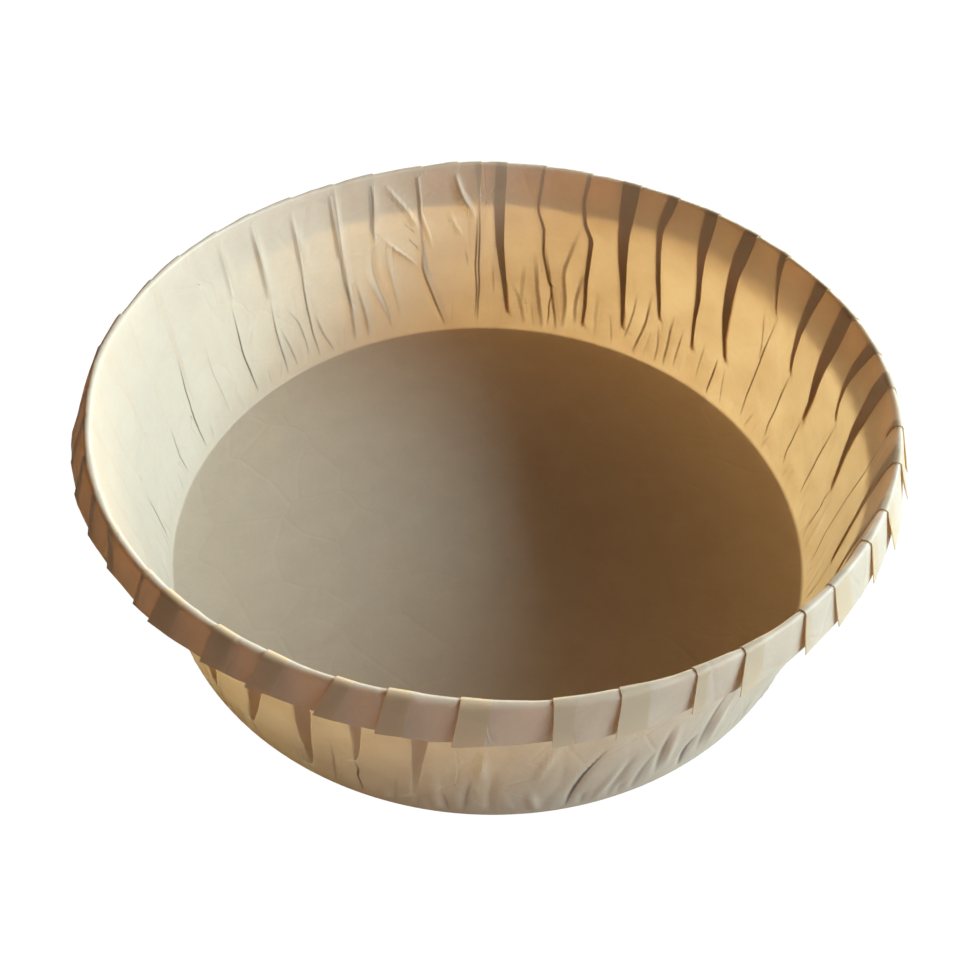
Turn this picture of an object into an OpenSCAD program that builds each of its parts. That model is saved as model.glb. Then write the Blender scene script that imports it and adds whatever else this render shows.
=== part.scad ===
// Paper cheesecake mold: one round sheet of brown baking paper. It is pressed into a flat floor
// and a steep wall, the spare paper lies in pleats, and the rim is folded out and down as a band.
// Millimetres, +Z up. The floor's underside lies on z = 0, and its centre is on the Z axis.

/* [Mold] */
// Diameter of the circle that the folded rim's crest follows
rim_diameter = 180; // [140:1:240]
// Diameter of the floor out to its corner
floor_diameter = 169.5; // [120:0.5:220]
// Height from the surface it stands on to the top of the rim
height = 56.5; // [36:0.5:90]

/* [Paper] */
// Thickness of one layer of paper, with the air beside it
layer = 0.3; // [0.2:0.05:0.4]
// Radius of the bend between floor and wall
corner_radius = 2; // [1:0.5:4]
// Radius of the bend over the top of the rim
fold_radius = 0.9; // [0.7:0.1:1.5]
// Height of the folded band from the crest down to its edge
band_height = 12; // [8:0.5:18]
// How far the band's lower edge leans out
band_lean = 0.8; // [0:0.1:2]

/* [Pleats] */
// Number of pleats round the wall
pleat_count = 46; // [30:1:54]
// Height at which the longest pleats open
pleat_start = 9; // [6:1:14]
// How much higher the shortest pleats open
pleat_start_spread = 20; // [0:1:26]
// Width of the step at a pleat's edge
pleat_edge = 0.45; // [0.3:0.05:0.8]
// How far a pleat's free edge lifts at the bottom of the band
edge_lift = 0.5; // [0:0.1:0.8]

/* [Wrinkles] */
// Height up to which the wall is crimped between the pleats
crimp_height = 24; // [16:1:30]
// Depth of the crimps just above the corner
crimp_depth = 0.5; // [0:0.1:0.8]
// How far the rim wanders from a true circle
rim_wander = 0.6; // [0:0.1:1.5]

/* [Hidden] */

// What stays the same for every size: how even the pleats are, and how they are drawn.
drift = [[2.2, 226], [1.7, 192], [1.5, 328]]; // slow drift of the spacing: degrees, phase
jitter = 0.86; // degrees that one pleat may miss its place by
first_pleat = 264.6; // angle of pleat 0 before drift
seed = 296;
fullness = 0.35; // how much one pleat's width may differ from the mean
columns = 4; // grid columns to a pleat: two at each of its edges

floor_r = floor_diameter / 2;
flat_r = floor_r - corner_radius;
rim_r = rim_diameter / 2;
pitch = 360 / pleat_count;
mesh_overlap = 1.5; // how far the floor disc reaches under the wall's flat inner edge

// Side view of the sheet's middle: floor, corner bend, straight wall, rim bend, band.
// All positions are [radius, height], and directions are degrees from outward to up.
corner_centre = [flat_r, layer / 2 + corner_radius];
fold_centre = [rim_r, height - 1.5 * layer - fold_radius];
reach = fold_centre - corner_centre;
span = norm(reach);
bends = corner_radius + fold_radius;
wall_slope = atan2(reach[1], reach[0]) + asin(bends / span);
wall_length = sqrt(span * span - bends * bends);
band_slope = -90 + asin(band_lean / band_height);
band_length = (band_height - fold_radius) / cos(band_slope + 90);
corner_length = corner_radius * wall_slope * PI / 180;
fold_turn = wall_slope - band_slope;
fold_length = fold_radius * fold_turn * PI / 180;
wall_at = corner_length;
fold_at = wall_at + wall_length;
crest_at = fold_at + fold_radius * wall_slope * PI / 180;
band_at = fold_at + fold_length;

function along(direction) = [cos(direction), sin(direction)];
function up_from(direction) = [-sin(direction), cos(direction)];
function clamp(x) = min(1, max(0, x));
function ease(x) = let (c = clamp(x)) c * c * (3 - 2 * c);
function mix(a, b, t) = a + (b - a) * t;
function rand(i, k) = let (x = sin(i * 127.1 + k * 311.7) * 43758.5453) x - floor(x);

// Direction of the sheet at path length s, measured from the start of the corner bend.
function slope(s) =
    s <= 0 ? 0
    : s < wall_at ? wall_slope * s / corner_length
    : s <= fold_at ? wall_slope
    : s < band_at ? wall_slope - fold_turn * (s - fold_at) / fold_length
    : band_slope;

corner_end = corner_centre - corner_radius * up_from(wall_slope);
band_top = fold_centre + fold_radius * up_from(band_slope);

function middle(s) =
    s <= 0 ? [flat_r + s, layer / 2]
    : s < wall_at ? corner_centre - corner_radius * up_from(slope(s))
    : s <= fold_at ? corner_end + (s - wall_at) * along(wall_slope)
    : s < band_at ? fold_centre + fold_radius * up_from(slope(s))
    : band_top + (s - band_at) * along(band_slope);

// Pleats. Pleat i's free edge lies on the panel before it, and its hidden edge under panel i.
function turn(i) = i - pleat_count * floor(i / pleat_count);
function drift_at(a) = sum([for (k = [0:len(drift) - 1]) drift[k][0] * sin((k + 1) * a + drift[k][1])]);
function sum(v, i = 0) = i < len(v) ? v[i] + sum(v, i + 1) : 0;
function pleat_angle(i) =
    first_pleat + i * pitch + (drift_at(turn(i) * pitch) + jitter * (2 * rand(turn(i), seed) - 1)) * pitch / 7.83;
function pleat_foot(i) = wall_at + pleat_start + pleat_start_spread * pow(rand(turn(i), seed + 1), 1.6);
function pleat_open(i, s) = clamp((s - pleat_foot(i)) / (0.6 * (crest_at - pleat_foot(i))));

// The sheet at s has the girth of its own radius in the flat sheet; what the wall can't take,
// the pleats do, each twice over its own width.
function spare(s) = (flat_r + s - middle(s)[0]) / (2 * middle(s)[0]);
function pleat_width(i, s) =
    pitch * spare(s) * (1 + fullness * (2 * rand(turn(i), seed + 2) - 1)) * pleat_open(i, s);
function pleat_level(i, s) = layer * clamp((s - pleat_foot(i)) / 6);
function lean(i, s) = pitch * 0.2 * (2 * rand(turn(i), seed + 3) - 1) * (s / crest_at - 0.5);

// Angles of a pleat's four columns: at its two edges up the wall, spread evenly at its foot.
function edge_angle(s) = pleat_edge / middle(s)[0] * 180 / PI;
function column_angle(i, k, s) = let (
        half = max(pleat_width(i, s) / 2, edge_angle(s) / 2),
        side = k < 2 ? -1 : 1,
        own = half + (k == 0 || k == 3 ? edge_angle(s) : 0),
        gap = abs(pleat_angle(i + side) - pleat_angle(i)),
        even = gap * (k == 0 || k == 3 ? 1.5 : 0.5) / columns
    ) pleat_angle(i) + lean(i, s) * ease(s / crimp_height) + side * mix(even, own, ease((s - wall_at) / crimp_height));

// Height of the upper and lower face over the sheet's middle: three layers between the edges.
function share(i, s) = let (w = pleat_width(i, s)) w / (pitch + w);
function panel_end(i, s) = mix(-pleat_level(i, s), pleat_level(i - 1, s), share(i, s));
function panel_start(i, s) = mix(pleat_level(i, s), -pleat_level(i + 1, s), share(i, s));
function lifted(i, s) = edge_lift * (0.3 + rand(turn(i), seed + 4)) * clamp((s - crest_at) / (band_at + band_length - crest_at));
function upper(i, k, s) = layer / 2
    + (k == 0 ? panel_end(i, s) : k == 1 ? pleat_level(i, s) + lifted(i, s) : panel_start(i, s));
function lower(i, k, s) = -layer / 2
    + (k < 2 ? panel_end(i, s) : k == 2 ? -pleat_level(i, s) : panel_start(i, s));
function crimp(i, k, s) = let (x = clamp((s - wall_at) / crimp_height))
    crimp_depth * (k % 2 == 0 ? 1 : -1) * (0.4 + 0.6 * rand(turn(i) * columns + k, seed + 5))
    * sin(180 * pow(x, 0.6));

function wander(a, s) =
    rim_wander * ease((s - wall_at) / wall_length)
    * [0.6 * sin(2 * a + 40) + 0.4 * sin(5 * a + 100), 0.3 * sin(3 * a + 200) - 0.3];

function point(i, k, s, off) = let (
        a = column_angle(i, k, s),
        p = middle(s) + (off + crimp(i, k, s)) * up_from(slope(s)) + wander(a, s)
    ) [p[0] * cos(a), p[0] * sin(a), p[1]];

// Rows of the grid along the sheet: flat edge, corner, wall, rim bend and band.
rows = [
    -2 * mesh_overlap, 0, wall_at / 2, wall_at,
    for (f = [0.1, 0.22, 0.36, 0.58, 0.8]) wall_at + f * wall_length,
    for (f = [0, 0.33, 0.67]) fold_at + f * fold_length,
    for (f = [0, 0.5, 1]) band_at + f * band_length
];
girth = pleat_count * columns;
last = len(rows) - 1;
sheet_points = [
    for (s = rows) for (i = [0:pleat_count - 1]) for (k = [0:columns - 1]) point(i, k, s, upper(i, k, s)),
    for (s = rows) for (i = [0:pleat_count - 1]) for (k = [0:columns - 1]) point(i, k, s, lower(i, k, s))
];
function up(j, m) = j * girth + m % girth;
function down(j, m) = len(rows) * girth + up(j, m);
sheet_faces = [
    for (j = [0:last - 1]) for (m = [0:girth - 1]) each [
        [up(j, m), up(j, m + 1), up(j + 1, m + 1)], [up(j, m), up(j + 1, m + 1), up(j + 1, m)],
        [down(j, m), down(j + 1, m), down(j + 1, m + 1)], [down(j, m), down(j + 1, m + 1), down(j, m + 1)]
    ],
    for (m = [0:girth - 1]) each [
        [up(0, m + 1), up(0, m), down(0, m)], [up(0, m + 1), down(0, m), down(0, m + 1)],
        [up(last, m), up(last, m + 1), down(last, m + 1)], [up(last, m), down(last, m + 1), down(last, m)]
    ]
];

// The whole folded sheet: a true round floor, and the wall with its pleats and band.
module mold() {
    color([0.72, 0.56, 0.38]) union() {
        cylinder(r = flat_r - mesh_overlap, h = layer, $fn = 180);
        polyhedron(points = sheet_points, faces = sheet_faces, convexity = 10);
    }
}

mold();
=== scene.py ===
import math

import bpy
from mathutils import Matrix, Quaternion, Vector, noise


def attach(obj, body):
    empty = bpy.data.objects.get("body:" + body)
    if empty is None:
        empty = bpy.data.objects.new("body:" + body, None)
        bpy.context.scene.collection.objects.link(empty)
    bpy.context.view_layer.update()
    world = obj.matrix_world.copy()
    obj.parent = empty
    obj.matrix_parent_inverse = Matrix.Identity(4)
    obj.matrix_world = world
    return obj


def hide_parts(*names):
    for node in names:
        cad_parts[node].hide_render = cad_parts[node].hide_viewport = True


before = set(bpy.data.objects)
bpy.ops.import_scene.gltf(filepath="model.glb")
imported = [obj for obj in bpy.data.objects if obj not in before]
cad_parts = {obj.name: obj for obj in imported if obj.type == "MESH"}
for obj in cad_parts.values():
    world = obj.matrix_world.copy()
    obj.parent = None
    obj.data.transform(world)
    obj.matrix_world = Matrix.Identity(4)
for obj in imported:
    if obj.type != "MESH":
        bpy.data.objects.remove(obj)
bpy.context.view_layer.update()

# THE BLANK
# A mold like this starts as one flat round sheet of brown baking paper. The sheet is drawn here
# as rings round its centre: a few under the floor, close ones where it will bend or pleat.

MM = 0.001
FLOOR_R = 84.75 * MM  # out to the corner between floor and wall
RIM_R = 90 * MM  # out to the crest of the folded rim
HEIGHT = 56.5 * MM
LAYER = 0.3 * MM  # one layer of paper with the air beside it
CORNER_BEND = 0.7 * MM
RIM_BEND = 0.8 * MM
BAND = 12 * MM  # height of the folded band
BAND_LEAN = 0.8 * MM  # how far its lower edge stands out

PLEATS = 46
STRANDS = 18  # columns of the grid from one pleat to the next
COLUMNS = PLEATS * STRANDS

FLAT_R = FLOOR_R - CORNER_BEND
corner_centre = Vector((FLAT_R, LAYER / 2 + CORNER_BEND))
fold_centre = Vector((RIM_R, HEIGHT - 1.5 * LAYER - RIM_BEND))
reach = fold_centre - corner_centre
bends = CORNER_BEND + RIM_BEND
WALL_SLOPE = math.atan2(reach.y, reach.x) + math.asin(bends / reach.length)
BAND_SLOPE = math.asin(BAND_LEAN / BAND) - math.pi / 2
WALL_AT = CORNER_BEND * WALL_SLOPE  # path lengths from the start of the corner bend
FOLD_AT = WALL_AT + math.sqrt(reach.length_squared - bends**2)
CREST_AT = FOLD_AT + RIM_BEND * WALL_SLOPE
BAND_AT = FOLD_AT + RIM_BEND * (WALL_SLOPE - BAND_SLOPE)
EDGE_AT = BAND_AT + (BAND - RIM_BEND) / math.cos(BAND_SLOPE + math.pi / 2)


def spread(start, end, count, power=1.0):
    """count path lengths after start, up to and with end, closer together at the start if power is over 1."""
    return [start + (end - start) * (n / count) ** power for n in range(1, count + 1)]


rings = [r * MM for r in (12, 48, 76)] + [FLAT_R]
rings += [FLAT_R + s for s in spread(0, WALL_AT, 4)]
rings += [FLAT_R + s for s in spread(WALL_AT, FOLD_AT, 33, 1.15)]
rings += [FLAT_R + s for s in spread(FOLD_AT, BAND_AT, 6)]
rings += [FLAT_R + s for s in spread(BAND_AT, EDGE_AT, 8)]

bpy.ops.object.select_all(action="DESELECT")
bpy.ops.mesh.primitive_circle_add(vertices=COLUMNS, radius=rings[0], fill_type="TRIFAN")
sheet = bpy.context.object
sheet.name = sheet.data.name = "folded_sheet"
bpy.ops.object.mode_set(mode="EDIT")
bpy.ops.mesh.select_mode(type="EDGE")
bpy.ops.mesh.select_all(action="SELECT")
bpy.ops.mesh.region_to_loop()
for inner, outer in zip(rings, rings[1:]):
    bpy.ops.mesh.extrude_edges_move()
    bpy.ops.transform.resize(value=(outer / inner, outer / inner, 1), center_override=(0, 0, 0))
bpy.ops.object.mode_set(mode="OBJECT")

# THE PRESSED WALL, PLEATS AND BAND
# A heated die presses the blank into a cup. The wall has less girth than the paper, so the spare
# paper lies in knife pleats, three layers deep; low down it is only creased. The rim is folded out
# and down. A bend takes no pins or glue: each point of the blank is moved to where the die puts it.

TURN = 2 * math.pi
PITCH = TURN / PLEATS
FIRST_PLEAT = math.radians(264.6)
DRIFT = ((2.2, 226), (1.7, 192), (1.5, 328))  # slow drift of the spacing: degrees, phase
JITTER = 0.86  # degrees that one pleat may miss its place by
DRAWN_PITCH = 7.83  # degrees from pleat to pleat that the drift and the jitter are meant for
SEED = 296
PLEAT_WIDTH = math.radians(2.3)  # at the crest, on average
FULLNESS = 0.55  # how much one pleat's width may differ from the mean
PLEAT_FOOT, FOOT_SPREAD = 9 * MM, 24 * MM  # where pleats open, above the table
PILE = 0.17 * MM  # how far the layers of a pleat lie apart
PAPER = 0.13 * MM  # the paper alone
EDGE_LIFT = 0.9 * MM  # how far a pleat's free edge stands off at the bottom of the band
CORNER_DROP = 0.7 * MM  # how much lower a leaf of the band hangs at its free edge
WANDER = 0.6 * MM  # how far the rim wanders from a true circle
CRIMPS = 3  # small crimps from one pleat to the next, at most
DRAWERS = 30  # round the wall, which the creases are sorted into
FAMILIES = 4  # of folded lines, so that lines that lie close stay apart in the material
NO_LINE = (6.0, 0.0)  # mm to the nearest folded line, and the darkness of its painted shade, where none is near

# Pleats that show well, from the foot up: height above the table in mm, place and width in degrees.
SEEN_PLEATS = {
    0: ((6, 260.8, 0.2), (25, 262, 1.2), (38, 262.7, 2.2), (56, 261.2, 2.6)),
    10: ((20, 339.6, 0.3), (36, 341.6, 1.1), (44, 342.5, 2), (51, 342.5, 2.4), (56, 341.4, 2.8)),
    11: ((50, 348.7, 0.3), (54, 348.8, 0.9), (56, 348.2, 1.2)),
    12: (
        (20, 356, 0.3), (24, 356.3, 0.6), (32, 357.9, 1.3), (38, 358.5, 2.4), (44, 358.4, 3),
        (51, 358.3, 3.5), (56, 357.6, 3.2),
    ),
    13: ((31, 4.2, 0.3), (38, 6.1, 0.65), (43, 6.7, 1.1), (50, 6.1, 2.1), (56, 5, 2.4)),
    14: ((20, 12.8, 0.3), (28.5, 13, 0.95), (35, 13.7, 2.1), (41, 14.2, 2.9), (48, 14, 3.4), (56, 14, 3.4)),
    15: ((27, 20.5, 0.3), (34, 21.7, 0.8), (41, 22.4, 1.4), (48, 22.3, 1.9), (56, 21.9, 2.7)),
    16: ((38, 28.2, 0.25), (47, 30.6, 0.65), (52, 31.5, 1.05), (56, 31.6, 1.4)),
    17: (
        (14, 35.7, 0.3), (23, 38.1, 0.85), (29, 39.2, 1.7), (36, 39.9, 2.2), (42, 40.2, 2.4), (49, 39.9, 3.1),
        (56, 39.4, 2.7),
    ),
    18: (
        (11, 44.6, 0.3), (15, 44.8, 0.5), (22, 45.7, 0.7), (29, 46.2, 1.1), (35, 47, 1.1), (43, 48, 1.85),
        (50, 48.1, 2.6), (56, 48.1, 2.6),
    ),
    19: (
        (15, 53.2, 0.3), (21.5, 54.2, 0.7), (30, 55.7, 1), (38, 56.8, 1), (45, 57.5, 1.3), (50, 56.9, 2),
        (56, 56.1, 2),
    ),
    20: (
        (7, 61.2, 0.3), (13, 61.7, 0.75), (22, 62.6, 1.1), (32, 63.8, 1.85), (40, 64.5, 2.4), (48, 64.6, 3.1),
        (56, 64.6, 3.5),
    ),
    21: (
        (3.5, 70.5, 0.3), (13, 70.3, 0.7), (22, 70.8, 0.8), (36, 70.8, 0.95), (41, 72.6, 0.75),
        (48, 73.4, 0.7), (56, 72.8, 0.8),
    ),
    22: ((16, 78.2, 0.3), (29, 80.5, 0.45), (37, 80.7, 0.55), (43, 82.3, 0.5), (56, 81.6, 0.6)),
    23: ((4, 87.3, 0.3), (18, 88.5, 1), (31, 89.7, 1.7), (44, 90, 2.3), (56, 89.8, 2.2)),
    24: ((45, 94, 0.25), (56, 94.3, 1.4)),
    25: ((40, 94.6, 0.25), (48, 97.5, 0.4), (56, 98.5, 0.6)),
    26: ((19, 104.6, 0.3), (32, 105.7, 0.4), (44, 106, 0.5), (56, 105.6, 0.7)),
    27: ((35, 115.2, 0.3), (40, 116.1, 0.5), (56, 115.2, 1.4)),
    28: ((15, 122.4, 0.35), (28, 123.2, 0.5), (43, 123, 0.5), (56, 122.8, 0.7)),
    29: ((28, 131.9, 0.3), (43, 131.4, 0.4), (56, 131.3, 0.8)),
    30: ((27, 139.7, 0.3), (42, 139.8, 0.4), (56, 139.7, 0.8)),
    31: ((34, 148.5, 0.3), (47, 147.3, 0.4), (56, 147.3, 0.7)),
    32: ((44, 153.8, 0.3), (49, 155.5, 0.4), (56, 156.2, 0.8)),
    42: ((13, 227.6, 0.3), (29, 230.6, 2.2), (56, 232, 3.2)),
    43: ((9, 234.6, 0.3), (24, 237.9, 1.7), (34, 239.8, 2.4), (56, 240.2, 3)),
    44: ((3.5, 244.8, 0.3), (20, 245.8, 1.8), (36, 247.4, 2.4), (56, 247, 2.9)),
    45: ((16, 252.9, 0.25), (28, 254.1, 0.95), (36, 254.6, 1.4), (56, 255, 2)),
}
SHORT_PLEATS = range(1, 9)  # in front on the right, where pleats open only behind the band
PLAIN_PLEATS = range(33, 42)  # on the left, where pleats lie flat
CALM_PLEATS = (42, 43, 44, 45, 0)  # in front on the left, where the band's edges stand off less
NO_TAILS = (*SHORT_PLEATS, 32, *PLAIN_PLEATS)  # pleats that no crease leads to

# How far the free edges in front slant on their way down the band, in degrees.
SEEN_SLANTS = {
    41: -2.5, 42: -2.8, 43: -2.3, 44: -2.8, 45: -2.7, 0: -1.4, 1: -0.7, 2: 0.3, 3: 0.1, 4: 0.5, 5: 0.3,
    6: 1.1, 7: 1.9, 8: 1.5, 9: 1.6, 10: 1.7,
}

# Creases that show well. Each has its places from the lower end up (degrees, mm above the table), its half
# width and depth in mm, and how dark the painted shade along its folded line is and how broad that line is. A
# minus depth stands outwards, a minus half width puts the steeper side on the right, and a minus darkness
# makes the fold a crisp ridge in the bumps instead, with no painted shade.
SEEN_CREASES = (
    (((106.3, 37.5), (107.7, 42), (109.5, 46), (111.4, 50.5), (113, 53.4)), -2.4, 0.6, -1, 1.6),
    (((105.6, 42), (106, 55.5)), -1.0, 0.1, -0.9, 0.8),
    (((123.3, 34), (123.4, 54.5)), -1.0, 0.1, -1, 0.9),
    (((131.6, 34), (131.6, 52)), -1.0, 0.1, -0.8, 1),
    (((140, 30), (140, 54.5)), -1.0, 0.1, -0.9, 1),
    (((147.6, 36), (147.6, 53)), -1.0, 0.1, -0.4, 1),
    (((190, 4), (190.2, 22)), 1.0, 0.12, 0.7, 1),
    (((173.5, 4), (174.3, 12), (173.4, 21)), 1.0, 0.15, 0.6, 1),
    (((165.7, 2.6), (166.4, 11), (165.9, 22), (165, 35)), 1.1, 0.2, 0.9, 1),
    (((156.5, 4), (157.7, 20), (157.3, 31)), 1.2, 0.2, 0.25, 1),
    (((148, 3), (149.1, 18), (148.6, 35)), 1.1, 0.2, 0.95, 1.1),
    (((147, 36), (147.2, 45), (147.4, 53)), 1.3, 0.3, 0, 1),
    (((139.6, 2.2), (140.4, 17.5), (139.9, 30)), 1.2, 0.3, 0.7, 1.2),
    (((139.7, 32), (139.9, 44), (139.7, 54)), 1.4, 0.45, 0, 1),
    (((136.9, 3), (138.1, 13), (139.2, 19)), 1.1, 0.2, 0.5, 1.2),
    (((133.8, 5), (134, 12), (134.8, 19), (137.1, 24)), 1.1, 0.25, 0.5, 1.2),
    (((131.2, 2.5), (132, 13), (132.2, 24), (132, 39)), 1.3, 0.3, 0.75, 1.2),
    (((130.4, 32), (131, 40), (131.6, 48)), 1.4, 0.45, 0, 1),
    (((127.6, 2.5), (129.7, 10), (130.8, 18)), 1.6, 0.4, 0.5, 1.5),
    (((122.4, 3), (122.6, 15), (122.8, 32)), 2.0, 0.7, 0.5, 2),
    (((122.2, 25), (123, 36), (122.9, 46), (122.9, 56)), 1.5, 0.5, 0, 1),
    (((119.2, 3), (119.8, 14), (120.9, 25)), 1.7, 0.65, 0.5, 2),
    (((113.5, 4), (116.4, 17), (118.8, 26)), 2.2, 0.7, 0.2, 2),
    (((113.7, 5), (114.8, 15), (116.7, 25), (116.4, 36)), 1.9, -0.6, 0.3, 1.6),
    (((115.9, 36), (115.3, 47), (115.4, 56)), 1.5, 0.45, 0.4, 1.3),
    (((111.6, 8), (113.5, 26), (113.3, 35)), 1.8, 0.6, 0.2, 1.6),
    (((101.6, 2.5), (104.2, 14), (106.2, 24), (105.6, 32)), 2.4, 0.95, 0.8, 1.7),
    (((106.8, 25.5), (110.5, 30.6), (113.6, 35.2)), -2.0, 0.9, -0.9, 1.3),
    (((106.1, 30.6), (107.3, 32.2), (109.2, 34.2)), 1.2, -0.3, 0.6, 1.5),
    (((106.1, 35.3), (107.9, 37.4), (110.2, 39.4)), 1.2, -0.3, 0.55, 1.5),
    (((106.3, 36.5), (107.9, 42), (110, 46.9)), 1.0, -0.2, 0.45, 1.4),
    (((108.6, 40), (111, 44.4), (112.6, 47.7), (114.2, 49.6)), -1.4, 0.45, -0.6, 1),
    (((103.6, 30.8), (104.8, 38), (106.1, 43.5)), -1.3, 0.4, -0.5, 1),
    (((94.6, 40), (95.8, 42.5), (97.2, 46.5), (98.8, 53.5)), -1.8, 0.8, -0.8, 1),
    (((97.1, 33.5), (98.9, 37.3), (99.9, 41.3)), -1.6, 0.55, -0.6, 1.4),
    (((96.2, 24), (97, 28.6)), 1.0, -0.2, 0.4, 1.2),
    (((90.7, 14), (91.1, 25)), 1.3, 0.3, 0.3, 1.4),
    (((83.5, 3), (85, 12), (87, 18)), 1.7, -0.45, 0.5, 2.8),
    (((84.6, 10), (84.2, 25)), 1.6, 0.45, 0.4, 3),
    (((79.5, 2.2), (81.1, 15), (82.2, 29)), 1.8, -0.65, 0.7, 3),
    (((76.1, 2.4), (78, 16.5), (80.5, 33)), 1.5, 0.5, 0.85, 2),
    (((74.7, 3), (74.8, 13), (76, 23), (74.6, 32), (73.1, 40)), 1.9, -0.75, 0.7, 2.8),
    (((72.1, 6), (72.5, 15), (71.4, 25)), 1.5, 0.5, 0.7, 2.6),
    (((67.2, 3), (67.9, 20)), 1.9, 0.5, 0.25, 2.4),
    (((60.5, 6), (59.4, 15), (59.4, 23)), 1.4, 0.4, 0.6, 1.6),
    (((58.1, 1.8), (56.1, 14), (56.3, 25)), 1.6, 0.55, 0.85, 1.9),
    (((52.5, 2), (52.1, 9), (53.5, 15)), 1.4, 0.4, 0.5, 1.7),
    (((50.2, 2.5), (50.2, 11), (50.4, 21)), 1.5, 0.5, 0.8, 1.9),
    (((47.8, 4), (47.5, 18)), 1.3, 0.35, 0.6, 1.5),
    (((41.8, 5), (41.9, 18)), 1.2, 0.25, 0.35, 1.3),
    (((38.2, 2), (37.9, 16)), 1.4, 0.35, 0.95, 1.4),
    (((34.4, 2.5), (35.7, 14)), 1.1, 0.2, 0.4, 1.2),
    (((28.7, 25), (29.5, 31), (31.5, 39)), 1.2, 0.25, 0.5, 1.3),
    (((264, 3), (263.9, 24)), 2.0, -0.35, 0, 1),
    (((270, 19), (270.5, 29), (270, 34)), 1.5, -0.5, 0, 1),
    (((278.2, 2.5), (276.6, 13)), 1.6, -0.4, 0, 1),
    (((277.4, 18), (279.7, 37)), 1.6, -0.3, 0, 1),
    (((282.2, 2.5), (283.5, 15.8), (284.5, 22), (286.2, 30)), 1.5, 0.45, 0.95, 1.3),
    (((286.6, 2), (287.5, 8.5), (289.5, 20)), 1.7, -0.3, 0, 1),
    (((288.7, 2), (289.2, 8.5), (291, 22)), 2.0, 0.3, 0.2, 2),
    (((292.5, 2), (293, 9.4), (294, 19)), 2.0, 0.35, 0.25, 2),
    (((296, 6), (295.5, 18), (295, 30)), 1.7, 0.4, 0.35, 1.6),
    (((297.6, 8), (296.8, 18), (296.2, 30)), 2.0, -0.35, 0, 1),
    (((300.4, 3), (300.6, 10.6), (301.4, 17)), 1.6, 0.45, 0.8, 1.7),
    (((303.4, 6), (303.1, 21.5), (303.3, 36)), 1.8, 0.42, 0.4, 1.6),
    (((305.5, 6), (305, 20), (305.6, 34)), 2.0, -0.35, 0, 1),
)

# Round the rim, in degrees: how much further out than in front the band leans, in degrees.
FLARES = (
    (0, 20), (14, 16), (30, 30), (45, 39), (56, 35), (68, 12), (85, 3), (120, 3), (150, 10), (170, 18),
    (185, 24), (194, 26), (203, 20), (211, 13), (220, 9), (236, 4), (258, 0), (300, 0), (318, 9), (330, 13),
    (342, 17), (360, 20),
)
# How far the rim strays from the die's own curve, out and up, and how much shorter the band is, in mm.
RIM_STRAYS = (
    (0, 0, 0, 0), (72, 0, 0, 0), (84, 0.1, 0.5, 0), (96, 0.1, 1.1, 0), (108, 0, 0.6, 0), (122, 0, 0, 0),
    (183, 0, 0, 0), (196, -0.8, 0, 0), (206, -0.7, 0, 0.2), (216, -0.4, 0, 0.6), (228, -0.2, 0, 1.3),
    (242, 0, 0, 1.6), (256, 0, 0, 1.3), (268, 0, 0, 0.6), (285, 0, 0, 0.5), (300, 0, 0, 0.2), (315, 0, 0, 0),
    (360, 0, 0, 0),
)
# Round the rim, in degrees: how much painted shade the pleats in the wall get, where light shines through
# their layers from behind, and how clear to light they are, which lets more light through and puts a painted
# golden glow on their face, from 0 to 1 each.
PLEAT_SHADES = (
    (0, 1, 0), (92, 1, 0), (97, 0.25, 0), (212, 0.25, 0), (222, 0, 1), (275, 0, 1), (285, 1, 0), (360, 1, 0),
)


def rand(index, kind):
    """A number from 0 to 1 that is always the same for one pleat and kind."""
    x = math.sin(math.radians(index * 127.1 + kind * 311.7)) * 43758.5453
    return x - math.floor(x)


def clamp(x):
    return min(1.0, max(0.0, x))


def ease(x):
    x = clamp(x)
    return x * x * (3 - 2 * x)


def mix(a, b, t):
    return a + (b - a) * t


def along(slope):
    return Vector((math.cos(slope), math.sin(slope)))


def up_from(slope):
    return Vector((-math.sin(slope), math.cos(slope)))


def side_view(s, flare=0.0):
    """Where the sheet's middle lies at path length s, as (radius, height), and its slope there."""
    if s <= 0:
        return Vector((FLAT_R + s, LAYER / 2)), 0.0
    if s < WALL_AT:
        slope = WALL_SLOPE * s / WALL_AT
        return corner_centre - CORNER_BEND * up_from(slope), slope
    if s <= FOLD_AT:
        start = corner_centre - CORNER_BEND * up_from(WALL_SLOPE)
        return start + (s - WALL_AT) * along(WALL_SLOPE), WALL_SLOPE
    bent = min(s - FOLD_AT, RIM_BEND * (WALL_SLOPE - BAND_SLOPE - flare))
    slope = WALL_SLOPE - bent / RIM_BEND
    return fold_centre + RIM_BEND * up_from(slope) + (s - FOLD_AT - bent) * along(slope), slope


def path_at(height):
    """The path length up the wall at a height above the table."""
    return WALL_AT + (height - side_view(WALL_AT)[0].y) / math.sin(WALL_SLOPE)


def pleat_angle(i):
    a = (i % PLEATS) * PITCH
    slow = sum(size * math.sin((k + 1) * a + math.radians(phase)) for k, (size, phase) in enumerate(DRIFT))
    quick = JITTER * (2 * rand(i % PLEATS, SEED) - 1)
    return FIRST_PLEAT + i * PITCH + math.radians(slow + quick) * 360 / PLEATS / DRAWN_PITCH


def follow(rows, s):
    """The other values of rows at s, where each row starts with its own s."""
    for low, top in zip(rows, rows[1:]):
        if s <= top[0]:
            t = clamp((s - low[0]) / (top[0] - low[0]))
            return [mix(a, b, t) for a, b in zip(low[1:], top[1:])]
    return rows[-1][1:]


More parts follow.
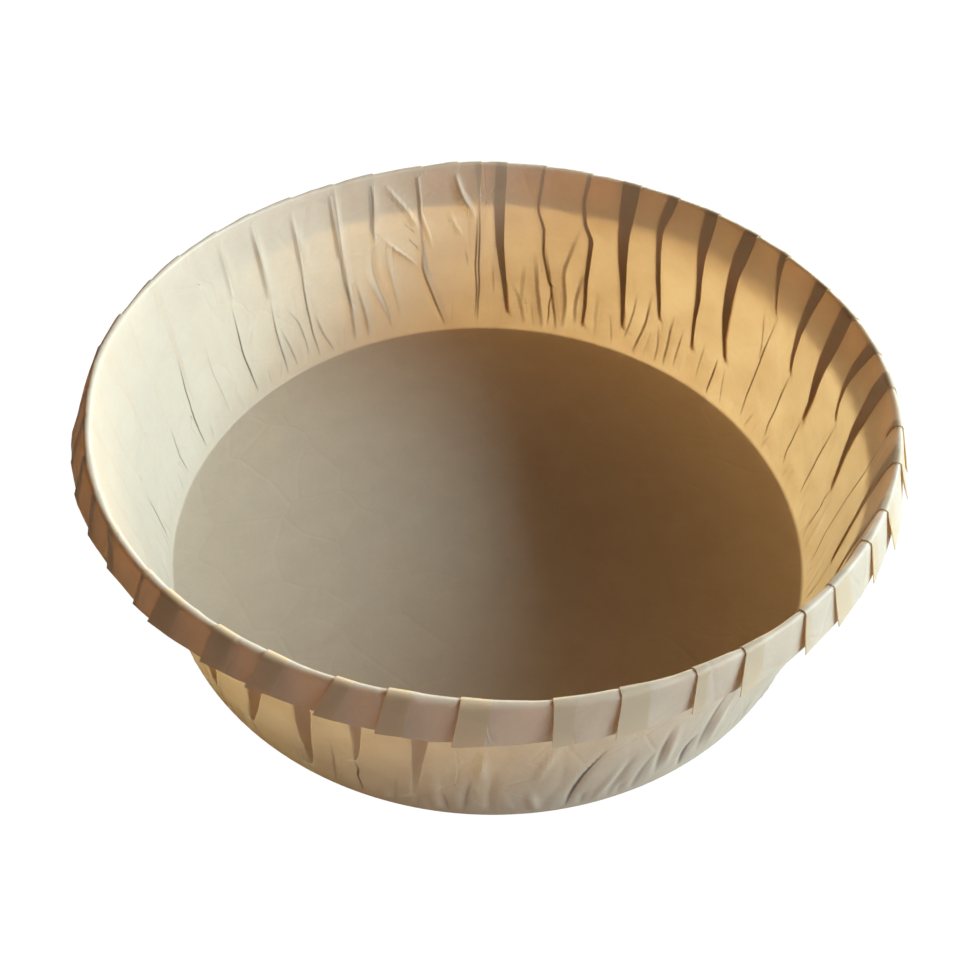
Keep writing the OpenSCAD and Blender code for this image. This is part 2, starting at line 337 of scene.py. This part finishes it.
def pleat_rows(i):
    """A pleat from its foot to the crest: rows of path length, angle and width."""
    n = i % PLEATS
    if n in SEEN_PLEATS:
        rows = []
        for height, angle, width in SEEN_PLEATS[n]:
            angle = math.radians(angle)
            angle += TURN * round((pleat_angle(i) - angle) / TURN)
            rows.append((path_at(height * MM), angle, math.radians(width)))
        return rows
    foot = path_at(38 * MM if n in SHORT_PLEATS else PLEAT_FOOT + FOOT_SPREAD * rand(n, SEED + 1) ** 1.6)
    full = (1 + FULLNESS * (2 * rand(n, SEED + 2) - 1)) * (0.5 if n in PLAIN_PLEATS else 1)
    lean = 0.2 * PITCH * (2 * rand(n, SEED + 3) - 1)
    rows = []
    for k in range(9):
        s = mix(foot, CREST_AT, k / 8)
        kinks = 0.10 * noise.noise(Vector((n * 7.3, s / (9 * MM), 0.5)))
        kinks += 0.03 * noise.noise(Vector((n * 3.1, s / (4 * MM), 4)))
        ragged = 1 + 0.35 * noise.noise(Vector((n * 5.7, s / (8 * MM), 9)))
        width = PLEAT_WIDTH * full * max(0.1, min(1, k / 6.3) ** 1.15 * ragged)
        rows.append((s, pleat_angle(i) + lean * (s / CREST_AT - 0.5) + PITCH * kinks, width))
    return rows


PLEAT_ROWS = [pleat_rows(i) for i in range(PLEATS + 1)]


def pleats_at(s):
    """Angle, half width, height of a layer and share of opening for every pleat at s, and for one more."""
    found = []
    down = clamp((s - CREST_AT) / (EDGE_AT - CREST_AT))
    for i, rows in enumerate(PLEAT_ROWS):
        n = i % PLEATS
        angle, width = follow(rows, s)
        opened = ease((s - rows[0][0] + 1 * MM) / (5 * MM))
        slant = SEEN_SLANTS.get(n, 2.5 * rand(n, SEED + 9) - 1)
        angle += math.radians(slant) * down
        found.append((angle, width * (1 + 0.12 * down) / 2, PILE * opened, opened))
    return found


def strand(n, left, right):
    """Where strand n between two pleats lies: its angle, height over the middle, how far it has come
    over the panel and back under the next (0 to 1 each), and its depth in a pleat."""
    (angle_l, half_l, high_l, opened_l), (angle_r, half_r, high_r, opened_r) = left, right
    start, end = angle_l - half_l, angle_r + half_r
    cut = 0.06 * PITCH * clamp(min(half_l, half_r) / (0.03 * PITCH))
    inner_l, inner_r = start + 2 * half_l, end - 2 * half_r
    panel = [start, inner_l - cut / 4, inner_l + cut / 4]
    panel += [mix(inner_l + cut, inner_r - cut, k / 7) for k in range(8)]
    panel += [inner_r - cut / 4, inner_r + cut / 4, end]
    across = back = 0.0
    if n < len(panel):
        a = panel[n]
        across = (a - start) / (end - start)
        high, depth = mix(high_l, -high_r, across), 1.0 if n < 2 or n > len(panel) - 3 else 0.0
    else:
        across, back = 1.0, (n - len(panel)) / (STRANDS - 1 - len(panel))
        a = mix(end + 0.003 * half_r, inner_r - 0.003 * half_r, back)
        high, depth = high_r * mix(-0.5, 0.5, ease(back)), 1.0
    even = mix(angle_l, angle_r, n / STRANDS)
    t = mix(opened_l, opened_r, clamp(n / (STRANDS - 5)))
    return mix(even, a, t), high, across, back, depth * t


def rounded(way):
    """The same way, from (angle, height) in degrees and mm to path length and angle, with a stop about
    every 2 mm and its corners rounded."""
    way = [(path_at(h * MM), math.radians(a)) for a, h in way]
    low, top = way[0][0], way[-1][0]
    count = math.ceil((top - low) / (2 * MM))
    stops = []
    for k in range(count + 1):
        s = mix(low, top, k / count)
        before, here, after = (follow(way, s + step * MM)[0] for step in (-2.5, 0, 2.5))
        stops.append((s, (before + 2 * here + after) / 4))
    return stops


def make_creases():
    """All creases in the wall, sorted into drawers round it: the seen ones, the pleats' tails and small
    crimps between them. No two fold lines of a family, each with its painted shade, lie close together."""
    rows = [(rounded(way), w * MM, d * MM, dark, broad) for way, w, d, dark, broad in SEEN_CREASES]
    seen = len(rows)
    for i in range(PLEATS):
        foot, foot_angle, _ = PLEAT_ROWS[i][0]
        low = path_at(mix(3, 8, rand(i, SEED + 11)) * MM)
        shown = any(abs(foot_angle % TURN - way[-1][1] % TURN) < math.radians(2) for way, *_ in rows[:seen])
        if foot - low > 4 * MM and not shown and i not in NO_TAILS:
            way = []
            for k in range(5):
                stray = math.radians(0.5) * (rand(i * 5 + k, SEED + 15) - 0.5)
                way.append((mix(low, foot + 2 * MM, k / 4), foot_angle + stray))
            # The tail's folded line gets painted shade, 0.85 dark.
            rows.append((way, 1.0 * MM, 0.15 * MM, 0.85, 1.2))
        room = pleat_angle(i + 1) - pleat_angle(i)
        for k in range(CRIMPS):
            own = i * CRIMPS + k
            a = (pleat_angle(i) + room * (k + 0.25 + 0.6 * rand(own, SEED + 5)) / CRIMPS) % TURN
            if any(abs(a - way[0][1] % TURN) < math.radians(1.3) for way, *_ in rows):
                continue
            shown = 20 < math.degrees(a) < 200
            top = mix(8, 14 if shown else 26, rand(own, SEED + 6) ** 1.5)
            tilt = math.radians(1.5) * (2 * rand(own, SEED + 7) - 1)
            side = 1 if rand(own, SEED + 10) > 0.4 else -1
            depth = mix(0.1, 0.25 if shown else 0.4, rand(own, SEED + 8)) * side
            half = mix(1.2, 2.0, rand(own, SEED + 12))
            # How dark the painted shade along the crimp's folded line is.
            dark = 0.35 * rand(own, SEED + 13) ** 2
            way = [(path_at(2.5 * MM), a), (path_at(top * MM), a + tilt)]
            rows.append((way, half * MM, depth * MM, dark, 1.5))
    families = [[] for _ in range(FAMILIES)]
    drawers = [[] for _ in range(DRAWERS)]
    for number, (way, half, depth, dark, broad) in enumerate(rows):
        family = 0
        if dark:
            for family, others in enumerate(families):
                if not any(near(way, other) for other in others):
                    others.append(way)
                    break
            else:
                dark = 0
        middle = sum(a for _, a in way) / len(way) % TURN
        for side in (-1, 0, 1):
            drawer = drawers[(int(middle / TURN * DRAWERS) + side) % DRAWERS]
            drawer.append((number, way, half, depth, dark, broad, family))
    return drawers


def near(one, other):
    """Whether two creases come within about 4 mm of each other."""
    low, top = max(one[0][0], other[0][0]) - 4 * MM, min(one[-1][0], other[-1][0]) + 4 * MM
    if low > top:
        return False
    gaps = [follow(one, s)[0] - follow(other, s)[0] for s in (low, (low + top) / 2, top)]
    return min(abs((gap + math.pi) % TURN - math.pi) for gap in gaps) < 4 * MM / FLOOR_R


CREASES = make_creases()


def creased(angle, s):
    """How far creases push a point off the wall, and for each family of fold lines how far off its nearest
    line is, in mm for a line of plain breadth, and the darkness of that line's painted shade."""
    relief, lines = 0.0, [NO_LINE] * FAMILIES
    for number, way, half, depth, dark, broad, family in CREASES[int(angle / TURN * DRAWERS) % DRAWERS]:
        low, top = way[0][0], way[-1][0]
        if not low - 3 * MM < s < top + 3 * MM:
            continue
        wobble = 0.2 * MM * noise.noise(Vector((number * 3.7, s / (7 * MM), 1)))
        off = ((angle - follow(way, s)[0] + math.pi) % TURN - math.pi) * RIM_R + wobble
        x = clamp((s - low) / (top - low))
        taper = math.sin(math.pi * x**0.8) ** 0.7
        q = off / (half * (0.5 + 0.5 * taper))
        if abs(q) < 1:
            relief += depth * taper * (1 - q * q) ** 2 * (1 - 1.2 * q)
        off /= MM
        if dark and abs(off / broad) < abs(lines[family][0]):
            shade = dark * clamp(4 * x) ** 0.5 * clamp(3 * (1 - x)) / broad**0.4
            lines[family] = (off / broad, shade * clamp(4 - 2 * abs(off)))
    return relief, lines


def unrest(angle, s):
    """Soft dents and sharper ridges that stray over the wall, the same for all layers."""
    place = Vector((math.cos(angle) * 4.2, math.sin(angle) * 4.2, s / (26 * MM)))
    soft = noise.noise(place * 1.1) * 0.4 + noise.noise(place * 2.7 + Vector((5, 1, 8))) * 0.18
    ridge = 1 - abs(noise.noise(Vector((angle * 9, s / (30 * MM), 2.5))))
    return (soft + 0.16 * ridge**6) * MM * ease((s - WALL_AT) / (12 * MM))


known = {}  # the pleats at each ring
marks = {"pleat_painted_shade": [], "clear_pleat_painted_glow": []}  # what the material reads at each point
for n in range(FAMILIES):
    marks[f"line_off_{n}"], marks[f"line_dark_{n}"] = [], []
blank_at = []  # where each point lay in the flat blank, for the grain
for point in sheet.data.vertices:
    blank_at.extend(point.co)
    out = math.hypot(point.co.x, point.co.y)
    s = out - FLAT_R
    depth, lines, shade, clear = 0.0, [NO_LINE] * FAMILIES, 0.0, 0.0
    if out < rings[0] / 2:
        point.co.z = LAYER / 2
    else:
        column = round(math.atan2(point.co.y, point.co.x) / TURN * COLUMNS) % COLUMNS
        i, n = divmod(column, STRANDS)
        ring = round(s / (0.01 * MM))
        if ring not in known:
            known[ring] = pleats_at(s)
        angle, high, across, back, depth = strand(n, known[ring][i], known[ring][i + 1])
        down_band = clamp((s - CREST_AT) / (EDGE_AT - CREST_AT))
        calm = 0.3 if i in PLAIN_PLEATS else 0.5 if i in CALM_PLEATS else 1
        lift, next_lift = (EDGE_LIFT * calm * (0.3 + rand(k % PLEATS, SEED + 4)) for k in (i, i + 1))
        drop, next_drop = (CORNER_DROP * calm * (0.3 + rand(k % PLEATS, SEED + 14)) for k in (i, i + 1))
        high += down_band * (mix(lift, -0.35 * next_lift, across**0.6) + 1.35 * next_lift * back)
        hang = down_band * mix(drop * (0.5 - across), next_drop * 0.5, back)
        relief = 0.0
        if WALL_AT < s < FOLD_AT:
            relief, lines = creased(angle % TURN, s)
        if s > WALL_AT:
            relief += unrest(angle, s)
        rim = ease((s - WALL_AT) / (FOLD_AT - WALL_AT))
        sway = WANDER * rim * Vector((
            0.6 * math.sin(2 * angle + math.radians(40)) + 0.4 * math.sin(5 * angle + math.radians(100)),
            0.3 * math.sin(3 * angle + math.radians(200)) - 0.3,
        ))
        round_rim = math.degrees(angle) % 360
        out_by, up_by, shorter = follow(RIM_STRAYS, round_rim)
        sway += rim * MM * Vector((out_by, up_by))
        reached = min(s, BAND_AT) + max(0, s - BAND_AT) * (1 - shorter * MM / BAND)
        middle, slope = side_view(reached, math.radians(follow(FLARES, round_rim)[0]))
        shade, clear = follow(PLEAT_SHADES, round_rim)
        place = middle + (high + relief) * up_from(slope) + hang * along(slope) + sway
        point.co = (place.x * math.cos(angle), place.x * math.sin(angle), place.y)
    depth = clamp(1.8 * depth - 0.8)
    # Painted shade on pleats where light shines through them from behind, less of it higher up the wall.
    marks["pleat_painted_shade"].append(depth * shade * mix(1, 0.35, ease((s - 26 * MM) / (20 * MM))))
    # Pleats in front on the left, and in the rim's band, let more light through and get a painted golden glow
    # in their face colour.
    marks["clear_pleat_painted_glow"].append(depth * max(clear, 0.5 * clamp((s - FOLD_AT) / (BAND_AT - FOLD_AT))))
    for n, (line_off, line_dark) in enumerate(lines):
        marks[f"line_off_{n}"].append(line_off)
        marks[f"line_dark_{n}"].append(line_dark)

for name, values in marks.items():
    sheet.data.attributes.new(name, "FLOAT", "POINT").data.foreach_set("value", values)
sheet.data.attributes.new("blank", "FLOAT_VECTOR", "POINT").data.foreach_set("vector", blank_at)

solid = sheet.modifiers.new("paper", "SOLIDIFY")
solid.thickness = PAPER
solid.offset = 0
bpy.ops.object.modifier_apply(modifier="paper")
bpy.ops.object.shade_smooth_by_angle(angle=math.radians(38))  # pleat edges stay crisp


# BROWN BAKING PAPER
# Unbleached kraft, calendered smooth on both sides. Its fibres lie in soft clouds, and light shines
# through one layer as gold and through three as dark brown.


class Value:
    """A number or colour in a shader; Python's own operators work on the numbers."""

    def __init__(self, tree, socket):
        self.tree, self.socket = tree, socket

    def node(self, kind, settings=None, out=0, **inputs):
        """Output out of a new node. Inputs are named, with _ for a space, or numbered as i0, i1 and so on."""
        made = self.tree.nodes.new(kind)
        for key, setting in (settings or {}).items():
            setattr(made, key, setting)
        for key, value in inputs.items():
            numbered = key[0] == "i" and key[1:].isdigit()
            slot = made.inputs[int(key[1:]) if numbered else key.replace("_", " ")]
            if isinstance(value, Value):
                self.tree.links.new(value.socket, slot)
            else:
                slot.default_value = value
        return Value(self.tree, made.outputs[out])

    def maths(self, operation, *others):
        values = {f"i{n}": v for n, v in enumerate(others)}
        return self.node("ShaderNodeMath", {"operation": operation}, **values)

    def __add__(self, other):
        return self.maths("ADD", self, other)

    def __sub__(self, other):
        return self.maths("SUBTRACT", self, other)

    def __rsub__(self, other):
        return self.maths("SUBTRACT", other, self)

    def __mul__(self, other):
        return self.maths("MULTIPLY", self, other)

    __radd__, __rmul__ = __add__, __mul__

    def ramp(self, low, high, to_low=0.0, to_high=1.0):
        """This number taken from low and high to to_low and to_high, and no further."""
        ends = {"From_Min": low, "From_Max": high, "To_Min": to_low, "To_Max": to_high}
        return self.node("ShaderNodeMapRange", None, 0, Value=self, **ends)

    def colour(self, one, two):
        """A colour between two, with this number as the share of the second."""
        return self.node("ShaderNodeMix", {"data_type": "RGBA"}, 2, i0=self, i6=one, i7=two)

    def end(self, kind):
        """Takes this shader into its tree's own output."""
        self.tree.links.new(self.socket, self.tree.nodes.new(kind).inputs["Surface"])


def emptied(owner):
    """Takes a material's or world's nodes away and gives a start for new ones."""
    owner.use_nodes = True
    owner.node_tree.nodes.clear()
    return Value(owner.node_tree, None)


# What the paper sends back and what it lets through, each in its darker and its lighter clouds.
WALL_FACE = (0.81, 0.74, 0.63, 1), (0.88, 0.83, 0.74, 1)
FLOOR_FACE = (0.79, 0.69, 0.56, 1), (0.87, 0.78, 0.66, 1)
THROUGH_ONE = (0.84, 0.61, 0.37, 1), (0.90, 0.69, 0.45, 1)
# The same for pleats, with painted shade where they are dark and a painted golden glow where they are clear
# to light, and for folded lines, with painted shade along them.
PAINTED_PLEAT_SHADE, DARK_THROUGH = (0.60, 0.32, 0.08, 1), (0.40, 0.16, 0.02, 1)
PAINTED_PLEAT_GLOW, CLEAR_THROUGH = (0.88, 0.62, 0.38, 1), (1.0, 0.86, 0.62, 1)
PAINTED_FOLD_SHADE, LINE_THROUGH = (0.16, 0.09, 0.03, 1), (0.25, 0.10, 0.02, 1)

paper = bpy.data.materials.new("brown_baking_paper")
start = emptied(paper)
blank = start.node("ShaderNodeAttribute", {"attribute_name": "blank"}, 1)
pleat_painted_shade = start.node("ShaderNodeAttribute", {"attribute_name": "pleat_painted_shade"}, 2)
clear_pleat_painted_glow = start.node("ShaderNodeAttribute", {"attribute_name": "clear_pleat_painted_glow"}, 2)
clouds = start.node("ShaderNodeTexNoise", None, 0, Vector=blank, Scale=95.0, Detail=3.0, Roughness=0.6)
fibre = start.node("ShaderNodeTexNoise", None, 0, Vector=blank, Scale=900.0, Detail=2.0, Roughness=0.7)
wrinkle = start.node(
    "ShaderNodeTexVoronoi", {"feature": "DISTANCE_TO_EDGE"}, 0, Vector=blank, Scale=70.0, Randomness=1.0
)

from_middle = blank.node("ShaderNodeVectorMath", {"operation": "LENGTH"}, 1, i0=blank)
on_floor = from_middle.ramp(FLAT_R + 1.2 * MM, FLAT_R + 0.9 * MM)

# A folded line's painted shade is half a millimetre broad, with ragged edges. A ridge, in the bumps alone, is
# four times as broad, and steeper on one side.
fold_line_shade = ridged = 0.0
for n in range(FAMILIES):
    off = start.node("ShaderNodeAttribute", {"attribute_name": f"line_off_{n}"}, 2)
    dark = start.node("ShaderNodeAttribute", {"attribute_name": f"line_dark_{n}"}, 2)
    stray = off + fibre * 0.16 - 0.08
    fold_line_shade = fold_line_shade + stray.maths("ABSOLUTE", stray).ramp(0.34, 0.12) * dark.ramp(0, 1)
    ridged = ridged + stray.ramp(-0.7, 0.1) * stray.ramp(1.4, 0.1) * dark.ramp(0, -1)

tone = (clouds * 0.7 + fibre * 0.3).ramp(0.3, 0.7)
base = on_floor.colour(tone.colour(*WALL_FACE), tone.colour(*FLOOR_FACE))
# Painted shade on pleats that light shines through from behind.
base = (pleat_painted_shade * 0.75).colour(base, PAINTED_PLEAT_SHADE)
# A painted golden glow on pleats that are clear to light.
base = clear_pleat_painted_glow.ramp(0.4, 1.0, 0.0, 0.6).colour(base, PAINTED_PLEAT_GLOW)
# Painted shade along folded lines.
base = (fold_line_shade * 0.85).colour(base, PAINTED_FOLD_SHADE)
glow = tone.colour(*THROUGH_ONE)
glow = clear_pleat_painted_glow.ramp(0, 0.5, 0.0, 0.95).colour(glow, CLEAR_THROUGH)
glow = pleat_painted_shade.ramp(0.25, 1.0, 0.0, 0.6).colour(glow, DARK_THROUGH)
glow = (fold_line_shade * 0.9).colour(glow, LINE_THROUGH)
rough = tone.ramp(0, 1, 0.48, 0.36)
relief = wrinkle.ramp(0.0, 0.06) * 0.3 + fibre * 0.25 + clouds * 0.5 - fold_line_shade * 0.6 + ridged * 4.0
bumps = start.node("ShaderNodeBump", None, 0, Strength=0.35, Distance=0.0004, Height=relief)
face = start.node("ShaderNodeBsdfPrincipled", None, 0, Base_Color=base, Roughness=rough, Normal=bumps)
face.socket.node.inputs["Specular IOR Level"].default_value = 0.6
through = start.node("ShaderNodeBsdfTranslucent", None, 0, Color=glow, Normal=bumps)
passed = tone.ramp(0, 1, 0.51, 0.57)  # the share of the light that the paper lets through
start.node("ShaderNodeMixShader", None, 0, i0=passed, i1=face, i2=through).end("ShaderNodeOutputMaterial")

sheet.data.materials.append(paper)
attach(sheet, "root")
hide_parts("mold")

# THE TABLE AND THE STUDIO'S LIGHT
# A plain pale table. One soft lamp stands to the right, a little above the rim, so its light shines
# through the right wall; weaker ones stand behind and at both sides of the front.

bpy.ops.mesh.primitive_plane_add(size=6, location=(0, 0, 0))
table = bpy.context.object
table.name = "table"
table_top = bpy.data.materials.new("pale_table")
start = emptied(table_top)
matt = start.node("ShaderNodeBsdfDiffuse", None, 0, Color=(0.5, 0.5, 0.5, 1))
white = start.node("ShaderNodeEmission", None, 0, Color=(1, 1, 1, 1), Strength=1.07)
seen = start.node("ShaderNodeLightPath", None, 0)
start.node("ShaderNodeMixShader", None, 0, i0=seen * 0.94, i1=matt, i2=white).end("ShaderNodeOutputMaterial")
table.data.materials.append(table_top)


def lamp(name, towards, distance, size, power, colour):
    """A softbox of size (width, height), in direction towards from the mold and facing it."""
    aim = Vector((0, 0, HEIGHT / 2))
    place = aim + Vector(towards).normalized() * distance
    bpy.ops.object.light_add(type="AREA", location=place)
    made = bpy.context.object
    made.name = name
    made.data.shape = "RECTANGLE"
    made.data.size, made.data.size_y = size
    made.data.energy = power
    made.data.color = colour
    made.rotation_euler = (place - aim).to_track_quat("Z", "Y").to_euler()


KEY_HEIGHT, KEY_TURN = math.radians(25.5), math.radians(7.5)
level = math.cos(KEY_HEIGHT)
key_way = (level * math.cos(KEY_TURN), level * math.sin(KEY_TURN), math.sin(KEY_HEIGHT))
lamp("key_lamp", key_way, 1.1, (1.0, 0.36), 28.4, (0.66, 0.91, 1.0))
lamp("front_lamp", (-0.8, -0.6, 0.2), 1.0, (0.8, 0.3), 0.5, (1.0, 0.8, 0.4))
lamp("back_lamp", (0.3, 1, 0.18), 0.9, (0.9, 0.25), 11.0, (0.92, 0.95, 0.82))
lamp("right_front_lamp", (0.9, -0.52, 0.34), 1.0, (0.5, 0.4), 3.2, (0.97, 1.0, 0.98))

# The room is dim and warm to the mold, and white to the camera alone: nothing here is of metal or
# glass, and a white room would shine through the paper.
ROOM_LIGHT, ROOM_SEEN = (1, 0.4, 0.15, 1), (1, 1, 1, 1)
world = bpy.data.worlds.new("pale_room")
bpy.context.scene.world = world
start = emptied(world)
seen = start.node("ShaderNodeLightPath", None, 0)
shown, strength = seen.colour(ROOM_LIGHT, ROOM_SEEN), seen.ramp(0, 1, 0.07, 1.0)
start.node("ShaderNodeBackground", None, 0, Color=shown, Strength=strength).end("ShaderNodeOutputWorld")

# THE CAMERA
# A hand-held phone, about a quarter of a metre from the mold's middle, looking down at half a right
# angle and turned a touch out of level.

VIEW_HEIGHT = math.radians(48.65)
VIEW_DISTANCE = 252.4 * MM
VIEW_AIM = Vector((0, 9.9 * MM, 0))
VIEW_ROLL = math.radians(1.89)
FOCAL = 915.7 / 980  # focal length as a share of the picture's width

stand = VIEW_DISTANCE * along(VIEW_HEIGHT)
bpy.ops.object.camera_add(location=(0, -stand.x, stand.y))
camera = bpy.context.object
camera.data.sensor_width = 36
camera.data.lens = 36 * FOCAL
camera.data.clip_start = 0.01
camera.rotation_mode = "QUATERNION"
facing = (VIEW_AIM - camera.location).to_track_quat("-Z", "Y")
camera.rotation_quaternion = facing @ Quaternion((0, 0, 1), VIEW_ROLL)
bpy.context.scene.camera = camera
bpy.context.scene.view_settings.view_transform = "Standard"
